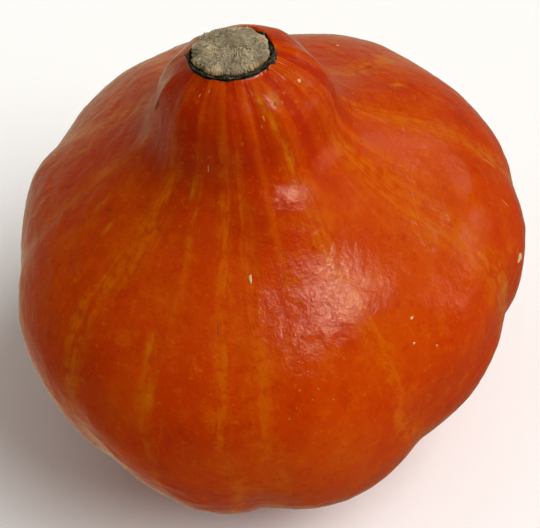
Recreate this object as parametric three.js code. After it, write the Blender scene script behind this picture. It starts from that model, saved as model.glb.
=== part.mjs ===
// Kabocha squash: a squat, softly lobed fruit with a short leaning neck and a dry corky stem end.
// Three grown pieces: the fruit, the cork that sits in its neck, and the dark dried collar of
// stem skin between the two.
// Millimetres, +Z up. The origin is under the middle of the fruit's box, on the surface that it
// stands on. The front is -Y, and azimuths are counted from there towards +X.

import * as THREE from 'three';

// The plain body: half of its outline, from the edge of the flat foot to the rim of the neck
const BELLY_RADIUS = 90;
const BELLY_HEIGHT = 78;
const FOOT_RADIUS = 26;
const SHOULDER_RADIUS = 36.8;
const SHOULDER_HEIGHT = 137.6;
const SHOULDER_SLOPE = 36.5;
const RIM_RADIUS = 13.6;
const RIM_HEIGHT = 170.7;
const NECK_FLARE = 58;

// How full the three curves of the outline are, as shares of the rise that each one spans
const FOOT_FULLNESS = 0.6;
const LOW_BELLY_FULLNESS = 0.57;
const HIGH_BELLY_FULLNESS = 0.52;
const SHOULDER_FULLNESS = 0.5;
const NECK_FULLNESS = 0.55;
const RIM_FULLNESS = 0.42;

// The girth is a little oval and a little three-cornered: shares of the radius, by the cosine and
// the sine of twice and three times the azimuth
const OVAL = [0.04, -0.066];
const THREE_CORNERED = [0.011, -0.01];
const GIRTH_ROUNDS_OVER = 30;

// The upper half leans to the left, and the rim of the neck slopes up to the right and the front
const LEAN = [-17.8, -2.8];
const LEAN_FROM = 33;
const LEAN_POWER = 1.18;
const RIM_TILT = [0.055, -0.144];
const RIM_TILT_FROM = 118;

// Ten shallow furrows part the lobes: azimuth at the shoulder, azimuth at the foot, depth, and the
// height by which the furrow has almost faded out
const FURROWS = [
  [-142, -152, 1.4, 138],
  [-108, -118, 2.0, 138],
  [-76, -80, 1.6, 138],
  [-43, -36, 2.2, 120],
  [-4, -5, 3.6, 98],
  [32, 38.5, 2.4, 105],
  [72, 81, 2.6, 130],
  [106, 104, 2.0, 138],
  [139, 134, 1.8, 138],
  [176, 172, 4.2, 138],
];
const FURROW_DRIFTS_FROM = 30;
const FURROW_DRIFTS_TO = 118;
const FURROW_STARTS_OVER = 26;
const FURROW_FADES_OVER = 60;
const FURROW_LEFT_ON_SHOULDER = 0.1;
const LOBE_ROUNDNESS = 0.8;
const FURROW_SOFTNESS = 0.25;
const AT_SHOULDER = 0;
const AT_FOOT = 1;
const DEPTH = 2;
const FADED_AT = 3;

// On the neck the furrows turn into low ridges
const NECK_RIDGE = 0.8;
const NECK_RIDGE_BLEND = 12;
const NECK_RIDGE_END = 5;

// Places where the skin swells out, or dips: azimuth, height, spread in degrees, spread in height, rise
const SWELLINGS = [
  [-16, 36, 14, 26, 0.8],
  [14, 36, 12, 22, 0.8],
  [28, 37, 8, 22, 0.7],
  [61, 50, 14, 30, 0.9],
  [86, 66, 10, 20, 0.9],
  [-48, 64, 12, 30, 0.4],
  [-24, 48, 5, 30, -0.6],
  [-68, 82, 10, 22, 0.9],
  [-103, 100, 9, 13, 2.3],
  [-138, 114, 9, 12, 0.8],
  [-145, 128, 26, 16, 2.4],
  [-90, 160, 45, 10, -2.2],
  [120, 93, 10, 20, -0.5],
  [145, 108, 12, 16, 0.5],
  [170, 110, 8, 12, -0.9],
  [158, 138, 26, 14, -2.8],
  [145, 168, 40, 7, 2.2],
];
const SWELLING_STARTS_OVER = 12;

// The dimple of the blossom end, under the foot: radius and height of each ring, and its middle
const BLOSSOM_RINGS = [
  [3.2, 1.5],
  [4.0, 2.4],
  [6.6, 1.9],
  [9.0, 0],
];
const BLOSSOM_MIDDLE = 1.3;
const FOOT_RINGS = [14, 20];

// The seat of the cork in the neck, measured from the middle of the rim along the stem
const SEAT_RADIUS = 13;
const SEAT_EDGE = -0.2;
const SEAT_FLOOR = -3.6;
const LIP_RISE = 0.35;

// The cork: radius and height of each ring, from its hidden foot up to its low dome
const CORK_BOTTOM = -3.3;
const CORK_RINGS = [
  [11.2, -3.3],
  [11.65, -2.6],
  [11.65, -0.6],
  [12.2, 0.6],
  [12.4, 1.5],
  [12.1, 2.4],
  [11.2, 3.1],
  [8.5, 3.9],
  [4.5, 4.5],
];
const CORK_TOP = 4.7;
const CORK_RIDGES = 32;
const CORK_RIDGE_DEPTH = 0.22;
const CORK_RIDGES_FROM = 7;
const CORK_RIDGES_TO = 11.8;

// The collar: inner and outer outline of the dried skin, and its crinkled upper edge
const COLLAR_RINGS = [
  [12.0, -2.2],
  [12.65, -2.2],
  [12.65, -0.1],
  [13.1, 0.55],
  [13.75, 0.7],
  [13.6, 1.15],
  [12.85, 1.0],
  [12.35, 0.2],
];
const COLLAR_CRINKLES = [[11, 0.12], [17, 0.08]];
const COLLAR_CRINKLES_FROM = 0.4;

// How finely the pieces are divided
const COLUMNS_PER_LOBE = 8;
const OUTLINE_STATIONS = 42;
const CORK_COLUMNS = CORK_RIDGES * 2;
const COLLAR_COLUMNS = 72;

const RIND_COLOUR = 0xc24e0e;
const CORK_COLOUR = 0xa5936d;
const COLLAR_COLOUR = 0x2b2a1c;

function smoothstep(value, from, to) {
  const share = THREE.MathUtils.clamp((value - from) / (to - from), 0, 1);
  return share * share * (3 - 2 * share);
}

// Three curves that meet smoothly: foot to belly, belly to shoulder, shoulder to rim
function outlineCurves() {
  const slope = THREE.MathUtils.degToRad(SHOULDER_SLOPE);
  const upSlope = new THREE.Vector2(-Math.cos(slope), Math.sin(slope));
  const flare = Math.tan(THREE.MathUtils.degToRad(NECK_FLARE));
  const rise = SHOULDER_HEIGHT - BELLY_HEIGHT;
  const neck = RIM_HEIGHT - SHOULDER_HEIGHT;
  const foot = new THREE.Vector2(FOOT_RADIUS, 0);
  const belly = new THREE.Vector2(BELLY_RADIUS, BELLY_HEIGHT);
  const shoulder = new THREE.Vector2(SHOULDER_RADIUS, SHOULDER_HEIGHT);
  const rim = new THREE.Vector2(RIM_RADIUS, RIM_HEIGHT);
  const footPull = new THREE.Vector2(FOOT_RADIUS + FOOT_FULLNESS * (BELLY_RADIUS - FOOT_RADIUS), 0);
  const lowPull = new THREE.Vector2(BELLY_RADIUS, LOW_BELLY_FULLNESS * BELLY_HEIGHT);
  const highPull = new THREE.Vector2(BELLY_RADIUS, BELLY_HEIGHT + HIGH_BELLY_FULLNESS * rise);
  const underShoulder = shoulder.clone().addScaledVector(upSlope, -SHOULDER_FULLNESS * rise);
  const overShoulder = shoulder.clone().addScaledVector(upSlope, NECK_FULLNESS * neck);
  const underRim = rim.clone().add(new THREE.Vector2(flare, -1).multiplyScalar(RIM_FULLNESS * neck));
  const path = new THREE.CurvePath();
  path.add(new THREE.CubicBezierCurve(foot, footPull, lowPull, belly));
  path.add(new THREE.CubicBezierCurve(belly, highPull, underShoulder, shoulder));
  path.add(new THREE.CubicBezierCurve(shoulder, overShoulder, underRim, rim));
  return path;
}

// Stations at equal steps along the outline, each with its radius, height and outward direction
function outlineStations() {
  const path = outlineCurves();
  const stations = [];
  for (let i = 0; i <= OUTLINE_STATIONS; i++) {
    const share = i / OUTLINE_STATIONS;
    const point = path.getPointAt(share);
    const along = path.getTangentAt(share);
    stations.push({ radius: point.x, height: point.y, outR: along.y, outZ: -along.x });
  }
  return stations;
}

// A value of the furrow table, shared out evenly between one furrow and the next
function betweenFurrows(lobe, share, value) {
  const here = FURROWS[lobe][value];
  const next = FURROWS[(lobe + 1) % FURROWS.length][value];
  const roundTheBack = value <= AT_FOOT && next < here ? 360 : 0;
  return here + (next + roundTheBack - here) * share;
}

// The furrow across its width: 1 along its rounded bottom, 0 along the middle of a lobe
function furrowAcross(share) {
  const side = Math.sin(Math.PI * share) ** 2;
  const low = FURROW_SOFTNESS ** LOBE_ROUNDNESS;
  const high = (1 + FURROW_SOFTNESS ** 2) ** (LOBE_ROUNDNESS / 2);
  return 1 - ((side + FURROW_SOFTNESS ** 2) ** (LOBE_ROUNDNESS / 2) - low) / (high - low);
}

// How much a furrow shows at one height of the body, and how much its ridge does on the neck
function furrowOnBody(height, fadedAt) {
  const fade = smoothstep(height, fadedAt - FURROW_FADES_OVER, fadedAt);
  return smoothstep(height, 0, FURROW_STARTS_OVER) * (1 - (1 - FURROW_LEFT_ON_SHOULDER) * fade);
}

function ridgeOnNeck(height) {
  const start = smoothstep(height, SHOULDER_HEIGHT - NECK_RIDGE_BLEND, SHOULDER_HEIGHT + NECK_RIDGE_BLEND);
  return start * (1 - smoothstep(height, RIM_HEIGHT - NECK_RIDGE_END, RIM_HEIGHT));
}

// How far the skin stands out of the plain body at one place
function relief(azimuth, height, lobe, share) {
  const depth = betweenFurrows(lobe, share, DEPTH);
  const onBody = furrowOnBody(height, betweenFurrows(lobe, share, FADED_AT));
  let out = furrowAcross(share) * (NECK_RIDGE * ridgeOnNeck(height) - depth * onBody);
  for (const [middle, level, wide, high, rise] of SWELLINGS) {
    const aside = THREE.MathUtils.euclideanModulo(azimuth - middle + 180, 360) - 180;
    const fade = Math.exp(-((aside / wide) ** 2) - ((height - level) / high) ** 2);
    out += rise * fade * smoothstep(height, 0, SWELLING_STARTS_OVER);
  }
  return out;
}

// One point of the skin, on a column counted along the lobes
function skinPoint(column, station) {
  const lobe = Math.floor(column / COLUMNS_PER_LOBE);
  const share = (column % COLUMNS_PER_LOBE) / COLUMNS_PER_LOBE;
  const up = smoothstep(station.height, FURROW_DRIFTS_FROM, FURROW_DRIFTS_TO);
  const low = betweenFurrows(lobe, share, AT_FOOT);
  const azimuth = low + (betweenFurrows(lobe, share, AT_SHOULDER) - low) * up;
  const turn = THREE.MathUtils.degToRad(azimuth);
  const girth = OVAL[0] * Math.cos(2 * turn) + OVAL[1] * Math.sin(2 * turn)
    + THREE_CORNERED[0] * Math.cos(3 * turn) + THREE_CORNERED[1] * Math.sin(3 * turn);
  const notOnNeck = 1 - smoothstep(station.height, SHOULDER_HEIGHT - GIRTH_ROUNDS_OVER, RIM_HEIGHT);
  const out = relief(azimuth, station.height, lobe, share);
  const radius = station.radius * (1 + girth * notOnNeck) + out * station.outR;
  const height = station.height + out * station.outZ;
  const lean = Math.max((height - LEAN_FROM) / (RIM_HEIGHT - LEAN_FROM), 0) ** LEAN_POWER;
  const x = radius * Math.sin(turn);
  const y = -radius * Math.cos(turn);
  const tilt = (RIM_TILT[0] * x + RIM_TILT[1] * y) * smoothstep(station.height, RIM_TILT_FROM, RIM_HEIGHT);
  return new THREE.Vector3(x + LEAN[0] * lean, y + LEAN[1] * lean, height + tilt);
}

// Where the cork sits: its middle is the middle of the rim, and its axis is square to the rim
function stemSeat() {
  const axis = new THREE.Vector3(-RIM_TILT[0], -RIM_TILT[1], 1).normalize();
  const seat = new THREE.Object3D();
  seat.position.set(LEAN[0], LEAN[1], RIM_HEIGHT);
  seat.quaternion.setFromUnitVectors(new THREE.Vector3(0, 0, 1), axis);
  seat.updateMatrix();
  return seat;
}

// A point on a ring about +Z, at an azimuth counted from -Y
function ringPoint(radius, azimuth, height) {
  return new THREE.Vector3(radius * Math.sin(azimuth), -radius * Math.cos(azimuth), height);
}

// Joins each ring to the next, going out under the piece, up its side and in over its top
function ringFaces(index, rings, columns, first) {
  for (let ring = 0; ring + 1 < rings; ring++) {
    for (let column = 0; column < columns; column++) {
      const next = (column + 1) % columns;
      const low = first + ring * columns;
      const high = low + columns;
      index.push(low + column, low + next, high + next);
      index.push(low + column, high + next, high + column);
    }
  }
}

function geometryOf(points, index) {
  const geometry = new THREE.BufferGeometry().setFromPoints(points);
  geometry.setIndex(index);
  geometry.computeVertexNormals();
  return geometry;
}

// A closed body through rings of points, shut by one point below and one above
function bodyOfRings(bottom, rings, top) {
  const columns = rings[0].length;
  const points = [bottom, ...rings.flat(), top];
  const index = [];
  const last = 1 + (rings.length - 1) * columns;
  for (let column = 0; column < columns; column++) {
    const next = (column + 1) % columns;
    index.push(0, 1 + next, 1 + column);
    index.push(last + column, last + next, points.length - 1);
  }
  ringFaces(index, rings.length, columns, 1);
  return geometryOf(points, index);
}

// A closed band whose last ring joins its first one
function bandOfRings(rings) {
  const columns = rings[0].length;
  const index = [];
  ringFaces(index, rings.length + 1, columns, 0);
  const count = rings.length * columns;
  return geometryOf(rings.flat(), index.map((i) => i % count));
}

function fruit() {
  const columns = [...Array(FURROWS.length * COLUMNS_PER_LOBE).keys()];
  const under = [...BLOSSOM_RINGS, ...FOOT_RINGS.map((radius) => [radius, 0])];
  const rings = under.map(([radius, height]) => columns.map(
    (column) => skinPoint(column, { radius, height, outR: 0, outZ: -1 })));
  for (const station of outlineStations()) {
    rings.push(columns.map((column) => skinPoint(column, station)));
  }
  const seat = stemSeat();
  const rim = rings[rings.length - 1];
  const inSeat = rim.map((point) => seat.worldToLocal(point.clone()));
  const edge = inSeat.map((point) => ringPoint(SEAT_RADIUS, Math.atan2(point.x, -point.y), SEAT_EDGE));
  const crest = edge.map((point, i) => point.clone().lerp(inSeat[i], 0.5).setZ(LIP_RISE));
  const foot = edge.map((point) => point.clone().setZ(SEAT_FLOOR));
  for (const ring of [crest, edge, foot]) {
    rings.push(ring.map((point) => seat.localToWorld(point.clone())));
  }
  const bottom = new THREE.Vector3(0, 0, BLOSSOM_MIDDLE);
  const top = seat.localToWorld(new THREE.Vector3(0, 0, SEAT_FLOOR));
  const rind = new THREE.MeshStandardMaterial({ color: RIND_COLOUR, roughness: 0.32, metalness: 0 });
  const mesh = new THREE.Mesh(bodyOfRings(bottom, rings, top), rind);
  mesh.name = 'fruit';
  return mesh;
}

// The cork's edge is cut by fine upright ridges, which run a little way in over its dome
function stemCork() {
  const columns = [...Array(CORK_COLUMNS).keys()];
  const rings = CORK_RINGS.map(([radius, height]) => {
    const ridged = height > 0 ? smoothstep(radius, CORK_RIDGES_FROM, CORK_RIDGES_TO) : 0;
    return columns.map((column) => {
      const azimuth = (column / CORK_COLUMNS) * Math.PI * 2;
      const groove = (column % 2) * CORK_RIDGE_DEPTH * ridged;
      return ringPoint(radius - groove, azimuth, height - groove);
    });
  });
  const bottom = new THREE.Vector3(0, 0, CORK_BOTTOM);
  const top = new THREE.Vector3(0, 0, CORK_TOP);
  const cork = new THREE.MeshStandardMaterial({ color: CORK_COLOUR, roughness: 0.85, metalness: 0 });
  const mesh = new THREE.Mesh(bodyOfRings(bottom, rings, top), cork);
  mesh.name = 'stem_cork';
  return mesh;
}

// The dried collar rises out of the seat and folds out over the lip, with a crinkled edge
function stemCollar() {
  const columns = [...Array(COLLAR_COLUMNS).keys()];
  const rings = COLLAR_RINGS.map(([radius, height]) => columns.map((column) => {
    const azimuth = (column / COLLAR_COLUMNS) * Math.PI * 2;
    const waves = COLLAR_CRINKLES.map(([count, size]) => size * Math.sin(count * azimuth));
    const lift = height > COLLAR_CRINKLES_FROM ? waves[0] + waves[1] : 0;
    return ringPoint(radius, azimuth, height + lift);
  }));
  const dried = new THREE.MeshStandardMaterial({ color: COLLAR_COLOUR, roughness: 0.45, metalness: 0 });
  const mesh = new THREE.Mesh(bandOfRings(rings), dried);
  mesh.name = 'stem_collar';
  return mesh;
}

const stem = stemSeat();
stem.add(stemCork(), stemCollar());

const squash = new THREE.Group();
squash.add(fruit(), stem);

// The middle of the fruit's box goes over the origin
const box = new THREE.Box3().setFromObject(squash);
squash.position.set(-(box.min.x + box.max.x) / 2, -(box.min.y + box.max.y) / 2, 0);

export default squash;
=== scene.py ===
"""Kabocha squash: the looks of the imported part, in metres, +Z up.

The rind, the cork and the collar are worked out again from the part's own formula, far more finely,
and each one replaces its node. The specks on the skin are a piece of their own. The formulas work in
millimetres and degrees, as the part's source does, and the finished points are set into the frame in
metres.
"""
import math

import bpy
import numpy as np
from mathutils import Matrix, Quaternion, Vector


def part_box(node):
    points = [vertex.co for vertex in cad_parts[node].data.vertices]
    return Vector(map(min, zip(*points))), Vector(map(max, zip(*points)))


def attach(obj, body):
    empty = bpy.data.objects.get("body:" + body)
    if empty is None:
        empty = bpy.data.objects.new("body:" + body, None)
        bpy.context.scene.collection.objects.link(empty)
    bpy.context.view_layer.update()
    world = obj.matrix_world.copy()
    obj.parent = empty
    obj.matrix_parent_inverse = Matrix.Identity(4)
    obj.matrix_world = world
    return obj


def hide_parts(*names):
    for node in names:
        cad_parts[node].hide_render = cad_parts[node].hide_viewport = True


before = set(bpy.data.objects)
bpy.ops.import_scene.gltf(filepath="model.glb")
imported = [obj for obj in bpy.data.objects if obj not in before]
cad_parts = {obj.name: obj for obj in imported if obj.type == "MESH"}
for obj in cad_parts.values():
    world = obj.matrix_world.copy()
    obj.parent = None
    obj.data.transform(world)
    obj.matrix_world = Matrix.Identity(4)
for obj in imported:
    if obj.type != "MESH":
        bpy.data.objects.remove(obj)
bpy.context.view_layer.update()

MM = 0.001

# The plain body, as in the part: half of its outline, from the edge of the foot to the rim
BELLY_RADIUS = 90.0
BELLY_HEIGHT = 78.0
FOOT_RADIUS = 26.0
SHOULDER_RADIUS = 36.8
SHOULDER_HEIGHT = 137.6
SHOULDER_SLOPE = 36.5
RIM_RADIUS = 13.6
RIM_HEIGHT = 170.7
NECK_FLARE = 58.0
FOOT_FULLNESS = 0.6
LOW_BELLY_FULLNESS = 0.57
HIGH_BELLY_FULLNESS = 0.52
SHOULDER_FULLNESS = 0.5
NECK_FULLNESS = 0.55
RIM_FULLNESS = 0.42
OVAL = (0.04, -0.066)
THREE_CORNERED = (0.011, -0.01)
GIRTH_ROUNDS_OVER = 30.0
LEAN = (-17.8, -2.8)
LEAN_FROM = 33.0
LEAN_POWER = 1.18
RIM_TILT = (0.055, -0.144)
RIM_TILT_FROM = 118.0

# Furrows, as in the part: azimuth at the shoulder, azimuth at the foot, depth, and the height by which
# the furrow has almost faded out
FURROWS = (
    (-142, -152, 1.4, 138),
    (-108, -118, 2.0, 138),
    (-76, -80, 1.6, 138),
    (-43, -36, 2.2, 120),
    (-4, -5, 3.6, 98),
    (32, 38.5, 2.4, 105),
    (72, 81, 2.6, 130),
    (106, 104, 2.0, 138),
    (139, 134, 1.8, 138),
    (176, 172, 4.2, 138),
)
LOBES = len(FURROWS)
FURROW_DRIFTS_FROM = 30.0
FURROW_DRIFTS_TO = 118.0
FURROW_STARTS_OVER = 26.0
FURROW_FADES_OVER = 60.0
FURROW_LEFT_ON_SHOULDER = 0.1
LOBE_ROUNDNESS = 0.8
FURROW_SOFTNESS = 0.25
NECK_RIDGE = 0.8
NECK_RIDGE_BLEND = 12.0
NECK_RIDGE_END = 5.0

# Swellings, as in the part: azimuth, height, spread in degrees, spread in height, rise
SWELLINGS = (
    (-16, 36, 14, 26, 0.8),
    (14, 36, 12, 22, 0.8),
    (28, 37, 8, 22, 0.7),
    (61, 50, 14, 30, 0.9),
    (86, 66, 10, 20, 0.9),
    (-48, 64, 12, 30, 0.4),
    (-24, 48, 5, 30, -0.6),
    (-68, 82, 10, 22, 0.9),
    (-103, 100, 9, 13, 2.3),
    (-138, 114, 9, 12, 0.8),
    (-145, 128, 26, 16, 2.4),
    (-90, 160, 45, 10, -2.2),
    (120, 93, 10, 20, -0.5),
    (145, 108, 12, 16, 0.5),
    (170, 110, 8, 12, -0.9),
    (158, 138, 26, 14, -2.8),
    (145, 168, 40, 7, 2.2),
)
SWELLING_STARTS_OVER = 12.0

# The underside inside the foot: radius and height of the blossom-end dimple, from its middle out
BLOSSOM_RADII = (0.0, 1.6, 3.2, 4.0, 5.0, 6.6, 8.0, 9.0)
BLOSSOM_HEIGHTS = (1.3, 1.25, 1.5, 2.4, 2.35, 1.9, 0.8, 0.0)

# The seat of the cork, measured from the middle of the rim along the stem
SEAT_RADIUS = 13.0
SEAT_EDGE = -0.2
SEAT_FLOOR = -3.6
SEAT_WALL = (-1.2, -2.4, SEAT_FLOOR)
SEAT_FLOOR_RINGS = (0.66, 0.33)
LIP_RISE = 0.35

# How finely the rind is divided, and by how much the share of the outline is counted on with each row
# over the lip
COLUMNS_PER_LOBE = 44
OUTLINE_ROWS = 196
UNDERSIDE_ROWS = 14
LIP_ROWS = 6
OUTLINE_SAMPLES = 400
SHARE_OVER_LIP = 0.01


def smoothstep(value, start, end):
    """Goes evenly from 0 at `start` to 1 at `end`, flat at both ends: 3t^2 - 2t^3."""
    share = np.clip((np.asarray(value, float) - start) / (end - start), 0, 1)
    return share * share * (3 - 2 * share)


def bezier(points):
    """The cubic curve from the first point to the fourth, pulled at its ends by the second and the third."""
    a, b, c, d = (np.array(p, float) for p in points)
    t = np.linspace(0, 1, OUTLINE_SAMPLES)[:, None]
    return (1 - t) ** 3 * a + 3 * (1 - t) ** 2 * t * b + 3 * (1 - t) * t * t * c + t ** 3 * d


def half_outline():
    """Radius, height and outward direction along three curves: foot to belly, belly to shoulder, and
    shoulder to rim. They are read at equal steps of length, so the first result is the share of the
    length at each station."""
    slope = math.radians(SHOULDER_SLOPE)
    up_slope = np.array((-math.cos(slope), math.sin(slope)))
    rise = SHOULDER_HEIGHT - BELLY_HEIGHT
    neck = RIM_HEIGHT - SHOULDER_HEIGHT
    foot = (FOOT_RADIUS, 0)
    belly = (BELLY_RADIUS, BELLY_HEIGHT)
    shoulder = np.array((SHOULDER_RADIUS, SHOULDER_HEIGHT))
    rim = np.array((RIM_RADIUS, RIM_HEIGHT))
    foot_pull = (FOOT_RADIUS + FOOT_FULLNESS * (BELLY_RADIUS - FOOT_RADIUS), 0)
    low_pull = (BELLY_RADIUS, LOW_BELLY_FULLNESS * BELLY_HEIGHT)
    high_pull = (BELLY_RADIUS, BELLY_HEIGHT + HIGH_BELLY_FULLNESS * rise)
    under_shoulder = shoulder - SHOULDER_FULLNESS * rise * up_slope
    over_shoulder = shoulder + NECK_FULLNESS * neck * up_slope
    under_rim = rim + RIM_FULLNESS * neck * np.array((math.tan(math.radians(NECK_FLARE)), -1))
    line = np.vstack((
        bezier((foot, foot_pull, low_pull, belly)),
        bezier((belly, high_pull, under_shoulder, shoulder))[1:],
        bezier((shoulder, over_shoulder, under_rim, rim))[1:],
    ))
    length = np.append(0, np.cumsum(np.hypot(*np.diff(line, axis=0).T)))
    share = np.linspace(0, 1, len(line))
    radius, height = (np.interp(share, length / length[-1], line[:, i]) for i in (0, 1))
    along_r, along_z = np.gradient(radius), np.gradient(height)
    step = np.hypot(along_r, along_z)
    return share, radius, height, along_z / step, -along_r / step


OUTLINE = half_outline()


def between_furrows(turn, value):
    """A value of the furrow table, read evenly between one furrow and the next. `turn` counts the lobes."""
    table = [row[value] for row in FURROWS]
    last = table[0] if value >= 2 else table[0] + 360
    return np.interp(turn, np.arange(LOBES + 1), table + [last])


def ripples(points, length, seed, count=26):
    """Smooth uneven relief with a spread of about one: the sum of plane waves of about `length`,
    each with a random direction and start, over the square root of half their number."""
    random = np.random.default_rng(seed)
    way = random.normal(size=(count, 3))
    way /= np.linalg.norm(way, axis=1)[:, None]
    lengths = length * random.uniform(0.7, 1.4, count)
    start = random.uniform(0, 2 * math.pi, count)
    phase = points @ (2 * math.pi * way / lengths[:, None]).T + start
    return np.cos(phase).sum(-1) / math.sqrt(count / 2)


def relief(points, layer):
    """A layer of uneven relief, given by its wave length, its rise and its seed."""
    length, rise, seed = layer
    return rise * ripples(points, length, seed)


def warped(points, layer):
    """Points moved a little each way by three layers of relief, with seeds that follow one another."""
    length, rise, seed = layer
    return points + np.stack([relief(points, (length, rise, seed + i)) for i in range(3)], -1)


def furrow_across(turn):
    """1 along the rounded bottom of a furrow and 0 along the middle of a lobe: the sine of half a turn a
    lobe, squared and softened, then raised to the roundness of the lobes."""
    soft = FURROW_SOFTNESS ** 2
    side = (np.sin(math.pi * turn) ** 2 + soft) ** (LOBE_ROUNDNESS / 2)
    low, high = soft ** (LOBE_ROUNDNESS / 2), (1 + soft) ** (LOBE_ROUNDNESS / 2)
    return 1 - (side - low) / (high - low)


def skin_at(turn, radius, height, out_r, out_z, extra=0):
    """Points of the skin: the outline's station is pushed out by the furrows, the swellings and `extra`,
    carried round by its azimuth with the girth's oval and three corners, and then leaned and tilted."""
    drift = smoothstep(height, FURROW_DRIFTS_FROM, FURROW_DRIFTS_TO)
    azimuth = between_furrows(turn, 1) * (1 - drift) + between_furrows(turn, 0) * drift
    angle = np.radians(azimuth)
    furrow = furrow_across(turn)
    faded_at = between_furrows(turn, 3)
    fade = smoothstep((height - faded_at) / FURROW_FADES_OVER, -1, 0)
    on_body = smoothstep(height, 0, FURROW_STARTS_OVER) * (1 - (1 - FURROW_LEFT_ON_SHOULDER) * fade)
    on_neck = smoothstep(height, SHOULDER_HEIGHT - NECK_RIDGE_BLEND, SHOULDER_HEIGHT + NECK_RIDGE_BLEND)
    on_neck = on_neck * (1 - smoothstep(height, RIM_HEIGHT - NECK_RIDGE_END, RIM_HEIGHT))
    out = extra + furrow * (NECK_RIDGE * on_neck - between_furrows(turn, 2) * on_body)
    for middle, level, wide, high, rise in SWELLINGS:
        aside = (azimuth - middle + 180) % 360 - 180
        fade = np.exp(-(aside / wide) ** 2 - ((height - level) / high) ** 2)
        out = out + rise * fade * smoothstep(height, 0, SWELLING_STARTS_OVER)
    girth = (OVAL[0] * np.cos(2 * angle) + OVAL[1] * np.sin(2 * angle)
             + THREE_CORNERED[0] * np.cos(3 * angle) + THREE_CORNERED[1] * np.sin(3 * angle))
    not_on_neck = 1 - smoothstep(height, SHOULDER_HEIGHT - GIRTH_ROUNDS_OVER, RIM_HEIGHT)
    r = radius * (1 + girth * not_on_neck) + out * out_r
    z = height + out * out_z
    lean = np.clip((z - LEAN_FROM) / (RIM_HEIGHT - LEAN_FROM), 0, None) ** LEAN_POWER
    x, y = r * np.sin(angle), -r * np.cos(angle)
    tilt = (RIM_TILT[0] * x + RIM_TILT[1] * y) * smoothstep(height, RIM_TILT_FROM, RIM_HEIGHT)
    return np.stack((x + LEAN[0] * lean, y + LEAN[1] * lean, z + tilt), -1)


# Uneven relief of the skin: wave length, rise and seed of each layer
SWELLS = (44.0, 0.7, 1388)
BROAD_DENTS = (38.0, 0.16, 11)
SMALL_DENTS = (13.0, 0.07, 12)
WRINKLES = (4.4, 0.034, 13)
WARP = (9.0, 1.6, 14)

# The swells are on the front right: where they rise and fall round the fruit, and up its outline
SWELLS_ROUND = (3.6, 4.4, 6.7, 7.6)
SWELLS_UP = (0.35, 0.5, 0.88, 0.97)

# Gentle rises and dents there: turn, share of the outline, spread in turns, spread in share, rise
DENTS = (
    (4.4, 0.828, 0.6, 0.03, 1.1),
    (5.18, 0.758, 0.6, 0.057, -1.1),
    (5.31, 0.647, 0.2, 0.044, 0.55),
    (6.49, 0.72, 0.24, 0.036, -0.55),
    (6.15, 0.641, 0.6, 0.03, 0.55),
)

# The other relief fades out towards the foot and the rim
RELIEF_UP = (0.02, 0.12, 0.95, 0.99)

# Pleats where the skin meets the stem: two counts round it, how far they wander and how often, how deep
# they are, the least share of that, how much and how often it changes round the stem, the shares of the
# outline between which they grow, and the turn where they are deepest
PLEATS = (74, 47)
PLEATS_WANDER = (4, 5)
PLEAT_DEPTH = 0.07
PLEAT_LEAST = 0.2
PLEATS_UNEVEN = (0.15, 7)
PLEATS_UP = (0.965, 0.985)
PLEATS_DEEPEST = 6.2


def hump(value, edges):
    """Rises smoothly from the first edge to the second, and falls again from the third to the fourth."""
    return smoothstep(value, edges[0], edges[1]) * (1 - smoothstep(value, edges[2], edges[3]))


def skin_relief(turn, share, points):
    """How far the skin stands out of the plain formula: swells and dents on the front right, broad and
    small dents and wrinkles that fade out towards the foot and the rim, and fine pleats round the rim."""
    moved = warped(points, WARP)
    swells = hump(turn, SWELLS_ROUND) * hump(share, SWELLS_UP)
    out = relief(points, BROAD_DENTS) + relief(moved, SMALL_DENTS) + relief(moved, WRINKLES)
    out = out * hump(share, RELIEF_UP) + swells * relief(points, SWELLS)
    for middle, level, wide, high, rise in DENTS:
        out = out + rise * np.exp(-((turn - middle) / wide) ** 2 - ((share - level) / high) ** 2)
    angle = 2 * math.pi * turn / LOBES
    deepest = np.exp(-(turn - PLEATS_DEEPEST) ** 2)
    uneven = PLEAT_LEAST + (1 - PLEAT_LEAST) * deepest + PLEATS_UNEVEN[0] * np.cos(PLEATS_UNEVEN[1] * angle)
    wander = PLEATS_WANDER[0] * np.sin(PLEATS_WANDER[1] * angle)
    pleats = np.cos(PLEATS[0] * angle + wander) + np.cos(PLEATS[1] * angle)
    return out + PLEAT_DEPTH * uneven * pleats * smoothstep(share, *PLEATS_UP)


def skin(turn, share):
    """Points of the finished skin at a count of lobes and a share of the outline, foot 0 to rim 1."""
    station = [np.interp(share, OUTLINE[0], column) for column in OUTLINE[1:]]
    plain = skin_at(turn, *station)
    return skin_at(turn, *station, extra=skin_relief(turn, share, plain))


def stem_frame():
    """The middle of the rim, and the turn that carries +Z onto the stem's axis."""
    axis = Vector((-RIM_TILT[0], -RIM_TILT[1], 1)).normalized()
    turn = Vector((0, 0, 1)).rotation_difference(axis).to_matrix()
    return np.array((*LEAN, RIM_HEIGHT)), np.array(turn)


STEM_MIDDLE, STEM_TURN = stem_frame()


def to_stem(points):
    """Points measured from the middle of the rim, with their third number along the stem's axis."""
    return (points - STEM_MIDDLE) @ STEM_TURN


def from_stem(points):
    """Points measured along the stem, set back into the formula's millimetres."""
    return points @ STEM_TURN.T + STEM_MIDDLE


def ring(radius, angle, height):
    """Points at a radius, at an angle counted from -Y towards +X, and at a height."""
    radius, angle, height = np.broadcast_arrays(radius, angle, height)
    return np.stack((radius * np.sin(angle), -radius * np.cos(angle), height), -1)


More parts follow.
